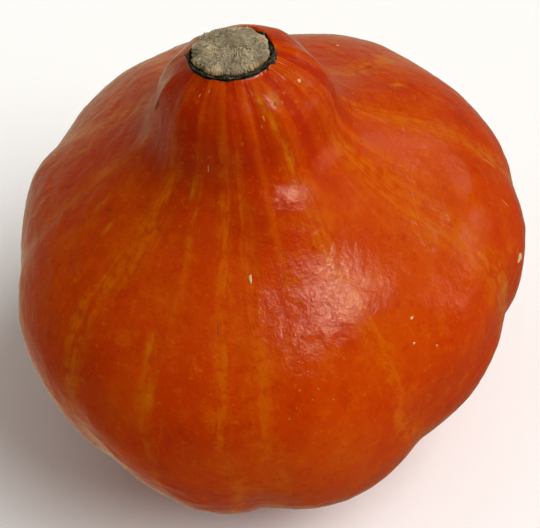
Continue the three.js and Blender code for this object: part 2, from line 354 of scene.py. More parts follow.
def close_rings(name, rows, bottom=None, top=None, values=None):
    """A mesh through rows of points that go round: each row is joined to the next by four-sided faces,
    and shut by fans to one point below and one above, or to the first row where neither is given. Several
    bodies of the same build can be given at once, one in front of the other.
    `values` are numbers or vectors kept at each point: all the rows first, then the ends."""
    bodies = rows.reshape(-1, *rows.shape[-3:])
    number, count, columns = bodies.shape[:3]
    points = rows.reshape(-1, 3)
    first = np.arange(number)[:, None] * count * columns
    here = np.arange(columns)
    after = (here + 1) % columns
    ring_start = np.arange(count if bottom is None else count - 1)[:, None] * columns
    next_start = (ring_start + columns) % (count * columns)
    quads = np.stack((ring_start + here, ring_start + after, next_start + after, next_start + here), -1)
    quads = quads + first[:, :, None, None]
    corners = [quads.reshape(-1)]
    sizes = [np.full(quads.size // 4, 4)]
    if bottom is not None:
        points = np.vstack((points, bottom, top))
        low = first + here
        high = low + (count - 1) * columns
        turned = first + after
        below = np.broadcast_to(number * count * columns + np.arange(number)[:, None], low.shape)
        corners += [np.stack((below, turned, low), -1).reshape(-1)]
        corners += [np.stack((high, turned + (count - 1) * columns, below + number), -1).reshape(-1)]
        sizes += [np.full(2 * low.size, 3)]
    corners, sizes = np.concatenate(corners), np.concatenate(sizes)
    mesh = bpy.data.meshes.new(name)
    mesh.vertices.add(len(points))
    mesh.vertices.foreach_set("co", (points * MM).astype(np.float32).ravel())
    mesh.loops.add(len(corners))
    mesh.loops.foreach_set("vertex_index", corners.astype(np.int32))
    mesh.polygons.add(len(sizes))
    mesh.polygons.foreach_set("loop_start", np.append(0, np.cumsum(sizes)[:-1]).astype(np.int32))
    mesh.polygons.foreach_set("use_smooth", np.ones(len(sizes), bool))
    mesh.update(calc_edges=True)
    mesh.validate()
    for label, value in (values or {}).items():
        keep_values(mesh, label, value)
    piece = bpy.data.objects.new(name, mesh)
    bpy.context.scene.collection.objects.link(piece)
    return piece


def keep_values(mesh, label, value):
    """Keeps a number or a vector at each point of a mesh, for its material to read."""
    kind, key = ("FLOAT_VECTOR", "vector") if value.shape[-1] == 3 and value.ndim > 1 else ("FLOAT", "value")
    attribute = mesh.attributes.new(label, kind, "POINT")
    attribute.data.foreach_set(key, value.astype(np.float32).ravel())


def fit_to_frame(points):
    """How the formula's millimetres are set into the frame: each direction is moved, and stretched by less
    than a hundredth, so that the rind fills the box of its node."""
    low, high = (np.array(corner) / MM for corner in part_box("fruit"))
    first, last = points.min(0), points.max(0)
    stretch = (high - low) / (last - first)
    return lambda p: (p - first) * stretch + low


# How much of the collar is left round the stem: degrees from the front, and a share
COLLAR_LEFT = (
    (-180, 0.1),
    (-125, 0.1),
    (-85, 0.6),
    (-45, 1.0),
    (-26, 0.8),
    (-16, 0.2),
    (-4, 0.4),
    (8, 0.35),
    (22, 0.85),
    (45, 0.7),
    (72, 1.0),
    (95, 0.6),
    (135, 0.25),
    (180, 0.1),
)
COLLAR_UNEVEN = (3.4, 0.3, 43)
COLLAR_MOST = 1.1


def collar_left(angle):
    """The share of the dried collar that is left at an angle round the stem, in radians from the front:
    read from the table, and made uneven by ripples."""
    where, share = np.array(COLLAR_LEFT).T
    uneven = relief(ring(SEAT_RADIUS, angle, 0.0), COLLAR_UNEVEN)
    return np.clip(np.interp(np.degrees(angle), where, share) + uneven, 0, COLLAR_MOST)


def rind_points():
    """The rows of the rind: out over the underside, up the outline, over the lip and down into the seat."""
    turn = np.arange(LOBES * COLUMNS_PER_LOBE) / COLUMNS_PER_LOBE
    inner = np.linspace(0, FOOT_RADIUS, UNDERSIDE_ROWS + 2)[1:-1, None]
    dimple = np.interp(inner, BLOSSOM_RADII, BLOSSOM_HEIGHTS)
    under = skin_at(turn, inner, dimple, 0.0, -1.0)
    share = np.linspace(0, 1, OUTLINE_ROWS)[:, None]
    side = skin(turn, share)
    rim = to_stem(side[-1])
    angle = np.arctan2(rim[:, 0], -rim[:, 1])
    edge = ring(SEAT_RADIUS, angle, SEAT_EDGE)
    over = np.linspace(0, 1, LIP_ROWS + 1)[1:, None, None]
    lip = rim + (edge - rim) * over
    lip[..., 2] += LIP_RISE * np.sin(math.pi * over[..., 0])
    wall = ring(SEAT_RADIUS, angle, np.array(SEAT_WALL)[:, None])
    floor = ring(SEAT_RADIUS * np.array(SEAT_FLOOR_RINGS)[:, None], angle, SEAT_FLOOR)
    inside = from_stem(np.vstack((lip, wall, floor)))
    rows = np.vstack((under, side, inside))
    below = (inner[:, 0] - FOOT_RADIUS) / OUTLINE_LENGTH
    above = 1 + SHARE_OVER_LIP * np.arange(1, len(inside) + 1)
    level = np.concatenate((below, share[:, 0], above))
    return turn, level, rows


OUTLINE_LENGTH = float(np.hypot(np.diff(OUTLINE[1]), np.diff(OUTLINE[2])).sum())


def with_ends(rows, bottom, top):
    """Values at each point of the rows, then at the bottom and the top point."""
    if rows.ndim == 2:
        return np.concatenate((rows.ravel(), (bottom, top)))
    return np.vstack((rows.reshape(-1, 3), bottom, top))


# Amber stripes in and beside the furrows: turn, half width on the body, and strength. Towards the neck
# their half width shrinks to a share of it, and they lose a share of their strength, each between two
# shares of the outline. They wander a little, in waves that run up the skin and round it.
STRIPES = (
    (0.0, 4.4, 0.8),
    (1.0, 4.8, 0.9),
    (2.0, 3.6, 0.8),
    (3.0, 4.4, 1.0),
    (3.48, 1.7, 0.65),
    (3.88, 3.0, 0.85),
    (4.10, 3.6, 0.65),
    (4.92, 4.0, 0.85),
    (5.93, 7.0, 1.0),
    (6.98, 4.6, 0.9),
    (8.0, 4.6, 0.9),
    (9.0, 4.6, 0.9),
)
STRIPE_ON_NECK = 0.42
STRIPES_NARROW = (0.75, 0.95)
STRIPES_LOSE = 0.6
STRIPES_FADE = (0.82, 0.94)
STRIPE_WANDER = 0.03
WANDER_WAVES = ((9, 5), (23, 3))

# Soft yellow smears: turn, share of the outline, half width and half length
SMEARS = (
    (4.78, 0.963, 0.9, 3.2),
    (5.10, 0.962, 1.3, 2.8),
    (4.86, 0.930, 0.8, 4.0),
    (4.93, 0.885, 0.9, 5.0),
    (2.34, 0.742, 0.9, 3.0),
    (2.64, 0.738, 0.8, 2.6),
    (3.39, 0.846, 0.5, 3.4),
    (3.45, 0.652, 0.9, 4.0),
    (3.51, 0.592, 1.2, 5.0),
    (5.99, 0.482, 3.0, 5.0),
    (7.60, 0.720, 1.0, 3.0),
    (8.50, 0.640, 1.2, 4.0),
    (1.40, 0.700, 1.1, 3.4),
    (9.60, 0.810, 0.8, 3.0),
)

# The skin is dried between two shares of the outline, counted on over the lip. Each starts earlier where
# more of the collar is left.
DRIED_FROM = (1.02, 0.024)
DRIED_TO = (1.04, 0.036)


def rind_values(turn, level, rows):
    """What the rind's material reads: `grain`, a point on a drum round the fruit, so that streaks run up
    the skin; `stripe`, near 1 along a stripe, and `smear`, 1 in the middle of a smear, which both fall off
    like a bell with the distance from it; `level`, the share of the outline; and `dried`, 1 where the skin
    has died back against the stem."""
    round_fruit = 2 * math.pi * turn / LOBES
    drum = np.stack(np.broadcast_arrays(
        np.cos(round_fruit)[None, :], np.sin(round_fruit)[None, :], level[:, None]), -1)
    waves = [np.sin(up * level[:, None] + across * round_fruit) for up, across in WANDER_WAVES]
    wander = STRIPE_WANDER * sum(waves)
    middle = rows.mean(1, keepdims=True)
    lobe_width = 2 * math.pi * np.linalg.norm(rows - middle, axis=-1) / LOBES
    narrow = 1 + (STRIPE_ON_NECK - 1) * smoothstep(level, *STRIPES_NARROW)[:, None]
    fade = 1 - STRIPES_LOSE * smoothstep(level, *STRIPES_FADE)[:, None]
    stripe = np.zeros(lobe_width.shape)
    for place, half, strength in STRIPES:
        aside = (turn[None, :] + wander - place + LOBES / 2) % LOBES - LOBES / 2
        stripe = np.maximum(stripe, strength * fade * np.exp(-(aside * lobe_width / (half * narrow)) ** 2))
    smear = np.zeros(lobe_width.shape)
    for place, share, half, long in SMEARS:
        aside = (turn[None, :] - place + LOBES / 2) % LOBES - LOBES / 2
        along = (level[:, None] - share) * OUTLINE_LENGTH / long
        smear = np.maximum(smear, np.exp(-(aside * lobe_width / half) ** 2 - along ** 2))
    levels = np.broadcast_to(level[:, None], stripe.shape)
    by_stem = to_stem(rows)
    left = collar_left(np.arctan2(by_stem[..., 0], -by_stem[..., 1]))
    dried_from, dried_to = (end - earlier * left for end, earlier in (DRIED_FROM, DRIED_TO))
    dried = smoothstep(level[:, None], dried_from, dried_to)
    ends = (np.array((1.0, 0, level[0])), np.array((1.0, 0, level[-1])))
    return {
        "grain": with_ends(drum, *ends),
        "stripe": with_ends(stripe, 0.0, 0.0),
        "smear": with_ends(smear, 0.0, 0.0),
        "level": with_ends(levels, level[0], level[-1]),
        "dried": with_ends(dried, 0.0, 1.0),
    }


def make_rind():
    """The whole skin of the fruit, from the blossom scar underneath to the seat of the cork."""
    turn, level, rows = rind_points()
    fit = fit_to_frame(rows.reshape(-1, 3))
    bottom = np.array((0, 0, BLOSSOM_HEIGHTS[0]))
    top = from_stem(np.array((0, 0, SEAT_FLOOR)))
    piece = close_rings("rind", fit(rows), fit(bottom), fit(top), rind_values(turn, level, rows))
    return piece, fit


# The cork: radius and height of its outline, from its hidden foot to its low dome
CORK_BOTTOM = -3.3
CORK_RADII = (11.2, 11.65, 11.65, 12.2, 12.4, 12.1, 11.2, 8.5, 4.5, 0.0)
CORK_HEIGHTS = (-3.3, -2.6, -0.6, 0.6, 1.5, 2.4, 3.1, 3.9, 4.5, 4.7)
CORK_COLUMNS = 420
CORK_ROWS = 110
CORK_WARP = (2.6, 0.5, 33)
CORK_SHOWN = (-0.4, 1.0)

# Its fibres: how many waves they are made of, the least and most of them round the cork, how far they
# slope, rise, seed, the point where they meet, and the distances from it over which they grow
CORK_FIBRES = 44
FIBRE_COUNTS = (14, 84)
FIBRE_SLOPE = 0.9
CORK_FIBRE_RISE = 0.13
CORK_FIBRE_SEED = 30
FIBRES_MEET = (0.8, 2.6)
FIBRES_FROM = (0.8, 5.0)

# Its crust of creases, drawn out along the fibres: how far round and out, width, and share of the warp
CORK_CRUST = (2.2, 0.12, 37)
CRUST_STRETCH = (7.5, 0.2)
CREASE_WIDTH = 0.28
CRUST_WARP = 0.4

# Its pits and lumps, the upright gills of its edge with their wander, and its uneven outline
CORK_PITS = (1.3, 0.05, 31)
CORK_LUMPS = (5.5, 0.16, 32)
CORK_GILLS = 96
CORK_GILL_RISE = 0.1
GILLS_WANDER = (2, 4)
GILLS_FROM = (10.6, 12.0)
CORK_EDGE_RADIUS = 12.0
CORK_EDGE_UNEVEN = (7.0, 0.22, 36)
CORK_UNEVEN_FROM = (8.0, 12.0)
CORK_EDGE = (11.9, 12.3)
CORK_SUNK = 0.52


SMOOTH_STEPS = 24


def smooth_line(points, count):
    """A line of `count` points at equal steps along the smooth curve through `points`: each stretch is a
    cubic whose ends lean as its neighbours do."""
    p = np.array(points, float)
    lean = np.gradient(p, axis=0)
    t = np.linspace(0, 1, SMOOTH_STEPS)[:, None, None]
    a, b, u, v = p[:-1], p[1:], lean[:-1], lean[1:]
    curve = ((2 * t ** 3 - 3 * t ** 2 + 1) * a + (t ** 3 - 2 * t ** 2 + t) * u
             + (3 * t ** 2 - 2 * t ** 3) * b + (t ** 3 - t ** 2) * v)
    line = curve.transpose(1, 0, 2).reshape(-1, p.shape[1])
    length = np.append(0, np.cumsum(np.linalg.norm(np.diff(line, axis=0), axis=1)))
    at = np.linspace(0, length[-1], count)
    return np.stack([np.interp(at, length, line[:, i]) for i in range(p.shape[1])], -1)


def fibre_relief(angle, radius, seed):
    """Fine ridges that run out from the middle: waves round the piece with whole counts, each sloping a
    little along the radius, over the square root of half their number."""
    random = np.random.default_rng(seed)
    counts = random.integers(*FIBRE_COUNTS, CORK_FIBRES)
    slopes = random.uniform(-FIBRE_SLOPE, FIBRE_SLOPE, CORK_FIBRES)
    start = random.uniform(0, 2 * math.pi, CORK_FIBRES)
    phase = counts * angle[..., None] + slopes * radius[..., None] + start
    return np.cos(phase).sum(-1) / math.sqrt(CORK_FIBRES / 2)


def make_cork(fit):
    """The dry end of the stem: a low dome with fibres that run out from a point behind its middle, a
    crumpled crust, small pits and lumps, and a rounded edge cut by fine upright gills."""
    line = smooth_line(np.stack((CORK_RADII, CORK_HEIGHTS), -1), CORK_ROWS)[:-1]
    angle = np.linspace(0, 2 * math.pi, CORK_COLUMNS, endpoint=False)[None, :]
    radius, height = line[:, :1], line[:, 1:]
    plain = ring(radius, angle, height)
    moved = warped(plain, CORK_WARP)
    aside = moved[..., :2] - np.array(FIBRES_MEET)
    fibre_angle = np.arctan2(aside[..., 0], -aside[..., 1])
    fibre_radius = np.hypot(aside[..., 0], aside[..., 1])
    spokes = np.stack((np.cos(fibre_angle), np.sin(fibre_angle), fibre_radius / CORK_EDGE_RADIUS), -1)
    shown = smoothstep(height, *CORK_SHOWN)
    grown = smoothstep(fibre_radius, *FIBRES_FROM)
    rise = CORK_FIBRE_RISE * fibre_relief(fibre_angle, fibre_radius, CORK_FIBRE_SEED) * grown
    across, out = CRUST_STRETCH
    drawn_out = spokes * np.array((across, across, out * CORK_EDGE_RADIUS)) + CRUST_WARP * (moved - plain)
    crease = np.abs(ripples(drawn_out, CORK_CRUST[0], CORK_CRUST[2]))
    rise = rise - CORK_CRUST[1] * np.exp(-(crease / CREASE_WIDTH) ** 2)
    rise = rise + relief(plain, CORK_PITS) + relief(plain, CORK_LUMPS)
    gills = np.cos(CORK_GILLS * angle + GILLS_WANDER[0] * np.sin(GILLS_WANDER[1] * angle))
    rise = (rise + CORK_GILL_RISE * gills * smoothstep(radius, *GILLS_FROM)) * shown
    along_r, along_z = np.gradient(line[:, 0])[:, None], np.gradient(line[:, 1])[:, None]
    step = np.hypot(along_r, along_z)
    out = rise - CORK_SUNK
    uneven = relief(ring(CORK_EDGE_RADIUS, angle, 0.0), CORK_EDGE_UNEVEN)
    uneven = uneven * smoothstep(radius, *CORK_UNEVEN_FROM) * shown
    points = ring(radius + uneven + out * along_z / step, angle, height - out * along_r / step)
    edge = np.broadcast_to(smoothstep(radius, *CORK_EDGE), rise.shape)
    rows = fit(from_stem(points))
    bottom = fit(from_stem(np.array((0, 0, CORK_BOTTOM))))
    top = fit(from_stem(np.array((0, 0, CORK_HEIGHTS[-1] - CORK_SUNK))))
    ends = (np.array((1.0, 0, 1.0)), spokes[-1, 0])
    values = {
        "spoke": with_ends(spokes, *ends),
        "relief": with_ends(rise, 0.0, 0.0),
        "edge": with_ends(edge, 1.0, 0.0),
    }
    return close_rings("cork", rows, bottom, top, values)


# The collar: its outline round the edge of the seat, as radius and height, and how uneven it is
COLLAR_RADII = (12.05, 12.65, 12.7, 12.95, 13.4, 13.6, 13.3, 12.7, 12.3)
COLLAR_HEIGHTS = (-2.2, -2.2, -0.2, 0.45, 0.45, 0.8, 1.2, 1.1, 0.3)
COLLAR_COLUMNS = 480
COLLAR_ROWS = 26
COLLAR_LUMPS = (1.4, 0.6, 41)
COLLAR_SWELLS = (5.0, 0.16, 42)
COLLAR_FLATNESS = 0.35
COLLAR_SHOWN = (-0.3, 0.5)
COLLAR_OUT = 0.8

# Where none of it is left, it has sunk by this much, and drawn in by this much beyond these radii
COLLAR_SINKS = 1.1
COLLAR_DRAWS_IN = 0.9
COLLAR_DRAWN = (12.6, 13.6)


def make_collar(fit):
    """The dried ring of stem skin: a thin band round the seat whose upper edge folds out over the lip,
    with lumps and creases all the way round. Where little of it is left, it sinks into the seat."""
    around = np.stack((COLLAR_RADII, COLLAR_HEIGHTS), -1)
    line = smooth_line(np.vstack((around, around[:1])), COLLAR_ROWS + 1)[:-1]
    angle = np.linspace(-math.pi, math.pi, COLLAR_COLUMNS, endpoint=False)[None, :]
    plain = ring(line[:, :1], angle, line[:, 1:])
    shown = smoothstep(line[:, 1:], *COLLAR_SHOWN)
    left = collar_left(angle)
    lumps = np.abs(ripples(plain, COLLAR_LUMPS[0], COLLAR_LUMPS[2])) - COLLAR_FLATNESS
    uneven = COLLAR_LUMPS[1] * lumps + relief(plain, COLLAR_SWELLS)
    rise = (uneven * left - COLLAR_SINKS * (1 - left)) * shown
    drawn = COLLAR_DRAWS_IN * (1 - left) * smoothstep(line[:, :1], *COLLAR_DRAWN)
    out = (COLLAR_OUT * rise * left - drawn) * shown
    points = ring(line[:, :1] + out, angle, line[:, 1:] + rise)
    return close_rings("collar", fit(from_stem(points)))


# Specks and scars that stand on the skin: turn, share of the outline, half their length up the skin, half
# their width, rise, and tone from 0 pale to 1 brown
SPECKS = (
    (4.10, 0.748, 1.25, 0.45, 0.28, 0.05),
    (5.92, 0.960, 0.55, 0.5, 0.2, 0.0),
    (5.23, 0.612, 0.45, 0.6, 0.25, 0.05),
    (5.15, 0.582, 0.4, 0.45, 0.2, 0.1),
    (5.27, 0.556, 0.4, 0.35, 0.15, 0.2),
    (3.61, 0.880, 1.1, 0.2, 0.06, 0.25),
    (2.09, 0.920, 1.8, 0.6, 0.12, 1.0),
    (4.75, 0.968, 0.8, 0.35, 0.07, 0.6),
    (4.72, 0.944, 1.0, 0.3, 0.08, 0.4),
    (5.16, 0.966, 1.0, 0.4, 0.08, 0.75),
    (5.08, 0.956, 0.7, 0.7, 0.14, 0.8),
    (5.22, 0.954, 0.6, 0.5, 0.1, 0.7),
    (5.40, 0.963, 0.35, 0.25, 0.08, 0.4),
    (4.80, 0.955, 0.6, 0.25, 0.08, 0.7),
    (4.63, 0.934, 0.6, 0.25, 0.08, 0.5),
    (3.86, 0.688, 1.8, 0.14, 0.04, 1.0),
    (4.34, 0.602, 0.45, 0.4, 0.1, 0.6),
    (4.45, 0.596, 0.4, 0.35, 0.1, 0.5),
    (4.25, 0.568, 0.35, 0.35, 0.1, 0.5),
    (4.40, 0.585, 0.3, 0.3, 0.08, 0.6),
    (4.30, 0.580, 0.3, 0.3, 0.08, 0.6),
    (4.52, 0.575, 0.3, 0.3, 0.08, 0.4),
    (6.85, 0.600, 3.6, 0.16, 0.06, 0.3),
    (6.55, 0.568, 2.4, 0.16, 0.06, 0.3),
    (6.30, 0.490, 1.7, 2.4, 0.3, 0.15),
    (3.31, 0.976, 0.6, 0.16, 0.05, 0.3),
    (3.52, 0.984, 0.5, 0.16, 0.05, 0.3),
    (8.40, 0.700, 0.8, 0.5, 0.15, 0.2),
    (9.30, 0.560, 0.7, 0.6, 0.15, 0.4),
    (1.20, 0.620, 0.9, 0.5, 0.15, 0.2),
    (0.40, 0.760, 1.4, 0.4, 0.1, 0.7),
)

# How a speck is built: points round it, and from its foot to its crown, its reach and its rise, both as
# shares, where a rise below 0 is set under the skin
SPECK_COLUMNS = 14
SPECK_REACH = (1.12, 1.0, 0.85, 0.6, 0.3)
SPECK_RISE = (-1.0, 0.15, 0.6, 0.85, 0.97)
UNDER_SKIN = 0.3

# Their uneven outline: two waves round each, as a share of its reach, a count, and a start that goes with
# its turn or with its share of the outline
SPECK_WAVES_BY_TURN = (0.16, 3, 9)
SPECK_WAVES_BY_SHARE = (0.1, 5, 40)


def speck_wave(wave, angle, place):
    """One wave round a speck: its size times the sine of its count of the angle plus its start."""
    size, count, start = wave
    return size * np.sin(count * angle + start * place)


def make_specks(fit):
    """Low domes that follow the skin: rings of growing rise and shrinking reach round each middle, with
    an uneven outline, shut under the skin and at the crown."""
    turn, share, long, wide, rise, tone = (column[:, None, None] for column in np.array(SPECKS).T)
    angle = np.linspace(0, 2 * math.pi, SPECK_COLUMNS, endpoint=False)
    uneven = 1 + speck_wave(SPECK_WAVES_BY_TURN, angle, turn)
    uneven = uneven + speck_wave(SPECK_WAVES_BY_SHARE, angle, share)
    reach = np.array(SPECK_REACH)[:, None] * uneven
    lift = np.array(SPECK_RISE)[:, None]
    lift = np.where(lift < 0, -UNDER_SKIN, lift * rise)
    at_skin = skin(turn[:, 0, 0], share[:, 0, 0])
    from_axis = (at_skin - np.array((*LEAN, 0)) * share[:, 0])[:, :2]
    lobe = 2 * math.pi * np.hypot(*from_axis.T)[:, None, None] / LOBES
    turns, shares = np.broadcast_arrays(
        turn + wide * reach * np.sin(angle) / lobe, share + long * reach * np.cos(angle) / OUTLINE_LENGTH)
    station = [np.interp(shares, OUTLINE[0], column) for column in OUTLINE[1:]]
    plain = skin_at(turns, *station)
    rows = skin_at(turns, *station, extra=skin_relief(turns, shares, plain) + lift)
    middle = [np.interp(share[:, 0, 0], OUTLINE[0], column) for column in OUTLINE[1:]]
    plain = skin_at(turn[:, 0, 0], *middle)
    level = skin_relief(turn[:, 0, 0], share[:, 0, 0], plain)
    below, above = (skin_at(turn[:, 0, 0], *middle, extra=level + up) for up in (-UNDER_SKIN, rise[:, 0, 0]))
    tones = np.broadcast_to(tone, rows.shape[:3])
    values = {"tone": np.concatenate((tones.ravel(), tone.ravel(), tone.ravel()))}
    return close_rings("corky_specks", fit(rows), fit(below), fit(above), values)


class Paint:
    """Adds nodes to one material and joins them. Each call gives back the socket that comes out."""

    def __init__(self, name):
        self.material = bpy.data.materials.new(name)
        self.material.use_nodes = True
        self.nodes = self.material.node_tree.nodes
        self.links = self.material.node_tree.links
        self.surface = self.nodes["Principled BSDF"]

    def feed(self, socket, value):
        """Joins another socket to a socket, or sets a plain value on it."""
        if isinstance(value, bpy.types.NodeSocket):
            self.links.new(value, socket)
        elif hasattr(value, "__len__") and socket.type == "RGBA":
            socket.default_value = (*value[:3], 1)
        else:
            socket.default_value = value

    def place(self):
        """Where a point is on the object, in metres."""
        return self.nodes.new("ShaderNodeTexCoord").outputs["Object"]

    def kept(self, label, out="Fac"):
        """A value kept at each point of the mesh."""
        node = self.nodes.new("ShaderNodeAttribute")
        node.attribute_name = label
        return node.outputs[out]

    def stretch(self, vector, scale):
        """A place whose three numbers are each scaled."""
        node = self.nodes.new("ShaderNodeMapping")
        self.feed(node.inputs["Vector"], vector)
        self.feed(node.inputs["Scale"], scale)
        return node.outputs["Vector"]

    def noise(self, vector, scale, detail=2.0, roughness=0.5, distortion=0.0):
        """Cloudy noise from 0 to 1, mostly near a half."""
        node = self.nodes.new("ShaderNodeTexNoise")
        labels = ("Vector", "Scale", "Detail", "Roughness", "Distortion")
        for label, value in zip(labels, (vector, scale, detail, roughness, distortion)):
            self.feed(node.inputs[label], value)
        return node.outputs["Fac"]

    def combine(self, kind, first, second):
        """Two values multiplied or added."""
        node = self.nodes.new("ShaderNodeMath")
        node.operation = kind
        for socket, value in zip(node.inputs, (first, second)):
            self.feed(socket, value)
        return node.outputs[0]

    def step(self, value, low, high, out_low=0.0, out_high=1.0):
        """Goes smoothly from one outcome to the other while a value goes from low to high."""
        node = self.nodes.new("ShaderNodeMapRange")
        node.interpolation_type = "SMOOTHSTEP"
        for socket, number in zip(node.inputs, (value, low, high, out_low, out_high)):
            self.feed(socket, number)
        return node.outputs[0]

    def mix(self, share, first, second):
        """The first colour, replaced by a share of the second."""
        node = self.nodes.new("ShaderNodeMix")
        node.data_type = "RGBA"
        self.feed(node.inputs["Factor"], share)
        self.feed(node.inputs[6], first)
        self.feed(node.inputs[7], second)
        return node.outputs[2]

    def bump(self, height, strength, distance, under=None):
        """Fine relief of a height in metres, over other relief if given."""
        node = self.nodes.new("ShaderNodeBump")
        self.feed(node.inputs["Height"], height)
        self.feed(node.inputs["Strength"], strength)
        self.feed(node.inputs["Distance"], distance)
        if under is not None:
            self.feed(node.inputs["Normal"], under)
        return node.outputs["Normal"]

    def finish(self, **sockets):
        """Feeds the surface and gives back the finished material."""
        for label, value in sockets.items():
            self.feed(self.surface.inputs[label.replace("_", " ")], value)
        return self.material


# Colours, as shares of red, green and blue
COLLAR_BLACK = (0.012, 0.013, 0.008)
COLLAR_GREEN = (0.045, 0.05, 0.02)
DEEP_RED = (0.34, 0.015, 0.0001)
RED_ORANGE = (0.42, 0.029, 0.0001)
ORANGE = (0.46, 0.046, 0.0001)
BRIGHT_ORANGE = (0.51, 0.077, 0.0002)
AMBER = (0.50, 0.100, 0.0004)
YELLOW = (0.50, 0.135, 0.002)
SPECK_PALE = (0.58, 0.42, 0.20)
SPECK_OCHRE = (0.40, 0.12, 0.012)
SPECK_BROWN = (0.13, 0.04, 0.015)
CORK_GREY = (0.20, 0.165, 0.11)
# CORK_LIGHT is also the painted highlight laid on the cork's raised relief
CORK_LIGHT = (0.47, 0.375, 0.215)
# CORK_DARK is also the painted shade laid in the cork's grooves
CORK_DARK = (0.10, 0.075, 0.045)
CORK_OCHRE = (0.38, 0.19, 0.05)

# The rind's pattern: clouds, blots, grit and speckles to a metre, and how the streaks are drawn out
CLOUDS = 20.0
BLOTS = 85.0
GRIT = 230.0
SPECKLES = 420.0
BANDS_DRAWN = (5.0, 5.0, 1.3)
DASHES_DRAWN = (26.0, 26.0, 14.0)
FRAY_DRAWN = (26.0, 26.0, 70.0)

# The shares of the outline where the neck's red and its amber bands begin and are full, and where the
# corky blossom scar starts, counted back from the foot
NECK_REDDENS = (0.74, 0.93)
BANDS_BEGIN = (0.6, 0.8)
SCAR_LEVEL = -0.055
SCAR_SOFTNESS = 0.006

# Its sheen: coarse and fine wrinkles to a metre, each with its depth in metres, how the fine ones are
# drawn out, how rough the skin is, and how strongly it mirrors
COARSE_WRINKLES = (230.0, 0.00025)
FINE_WRINKLES = (600.0, 0.00019)
FINE_DRAWN = (1.0, 1.15, 1.15)
RIND_ROUGHNESS = (0.11, 0.16)
RIND_SHEEN = 0.09


def rind_material():
    """Glossy rind: orange with redder and brighter clouds and a fine grain, a deep red neck with soft
    bands, amber stripes broken into dashes, yellow smears, a frayed dark edge where it is dried, and a
    pale corky scar underneath, over fine wrinkles."""
    paint = Paint("rind")
    place = paint.place()
    grain = paint.kept("grain", "Vector")
    level = paint.kept("level")
    stripe = paint.kept("stripe")
    clouds = paint.noise(place, CLOUDS, 4.0, 0.6, 0.2)
    blots = paint.noise(place, BLOTS, 5.0, 0.66, 0.2)
    speckle = paint.noise(place, SPECKLES, 3.0, 0.7)
    grit = paint.noise(place, GRIT, 4.0, 0.7)
    bands = paint.noise(paint.stretch(grain, BANDS_DRAWN), 1.0, 3.0, 0.55)
    dashes = paint.noise(paint.stretch(grain, DASHES_DRAWN), 1.0, 5.0, 0.72, 0.3)
    ground = paint.mix(paint.step(clouds, 0.36, 0.64), RED_ORANGE, ORANGE)
    ground = paint.mix(paint.step(blots, 0.50, 0.74, 0.0, 0.6), ground, BRIGHT_ORANGE)
    ground = paint.mix(paint.step(blots, 0.46, 0.26, 0.0, 0.6), ground, DEEP_RED)
    neck = paint.step(level, *NECK_REDDENS)
    red_band = paint.combine("MULTIPLY", neck, paint.step(bands, 0.62, 0.44, 0.2, 0.95))
    ground = paint.mix(red_band, ground, DEEP_RED)
    near_neck = paint.step(level, *BANDS_BEGIN)
    bright_band = paint.combine("MULTIPLY", near_neck, paint.step(bands, 0.58, 0.70, 0.0, 0.4))
    ground = paint.mix(bright_band, ground, AMBER)
    broken = paint.step(dashes, 0.40, 0.58, 0.15, 1.0)
    broken = paint.combine("MULTIPLY", broken, paint.step(grit, 0.40, 0.56, 0.35, 0.95))
    line = paint.combine("MULTIPLY", stripe, broken)
    ground = paint.mix(line, ground, AMBER)
    smeared = paint.combine("MULTIPLY", paint.kept("smear"), paint.step(grit, 0.36, 0.58, 0.35, 1.0))
    ground = paint.mix(smeared, ground, YELLOW)
    ground = paint.mix(paint.step(dashes, 0.58, 0.74, 0.0, 0.55), ground, BRIGHT_ORANGE)
    ground = paint.mix(paint.step(grit, 0.54, 0.70, 0.0, 0.35), ground, BRIGHT_ORANGE)
    ground = paint.mix(paint.step(grit, 0.44, 0.30, 0.0, 0.4), ground, DEEP_RED)
    ground = paint.mix(paint.step(speckle, 0.58, 0.72, 0.0, 0.5), ground, AMBER)
    ground = paint.mix(paint.step(speckle, 0.42, 0.28, 0.0, 0.5), ground, DEEP_RED)
    fray = paint.noise(paint.stretch(grain, FRAY_DRAWN), 1.0, 3.0, 0.6)
    edge = paint.combine("ADD", paint.kept("dried"), paint.step(fray, 0.3, 0.7, -0.25, 0.25))
    ground = paint.mix(paint.step(edge, 0.35, 0.62), ground, COLLAR_BLACK)
    scar = paint.combine("ADD", level, paint.step(blots, 0.3, 0.7, -0.01, 0.01))
    scarred = paint.step(scar, SCAR_LEVEL + SCAR_SOFTNESS, SCAR_LEVEL - SCAR_SOFTNESS)
    ground = paint.mix(scarred, ground, SPECK_PALE)
    coarse = paint.noise(place, COARSE_WRINKLES[0], 4.0, 0.62, 0.3)
    fine = paint.noise(paint.stretch(place, FINE_DRAWN), FINE_WRINKLES[0], 4.0, 0.65, 0.3)
    normal = paint.bump(coarse, 1.0, COARSE_WRINKLES[1])
    normal = paint.bump(fine, 1.0, FINE_WRINKLES[1], normal)
    rough = paint.step(blots, 0.3, 0.7, *RIND_ROUGHNESS)
    return paint.finish(Base_Color=ground, Roughness=rough, Normal=normal, Specular_IOR_Level=RIND_SHEEN)


SPECK_GRAIN = 1500.0
SPECK_GRAIN_DEPTH = 0.0001


def speck_material():
    """Dry corky skin, from pale tan through ochre to dark brown, with a fine grain."""
    paint = Paint("specks")
    tone = paint.kept("tone")
    grain = paint.noise(paint.place(), SPECK_GRAIN, 2.0, 0.6)
    colour = paint.mix(paint.step(tone, 0.0, 0.5), SPECK_PALE, SPECK_OCHRE)
    colour = paint.mix(paint.step(tone, 0.5, 1.0), colour, SPECK_BROWN)
    colour = paint.mix(paint.step(grain, 0.52, 0.7, 0.0, 0.5), colour, SPECK_OCHRE)
    normal = paint.bump(grain, 0.6, SPECK_GRAIN_DEPTH)
    return paint.finish(Base_Color=colour, Roughness=0.7, Normal=normal, Specular_IOR_Level=0.08)


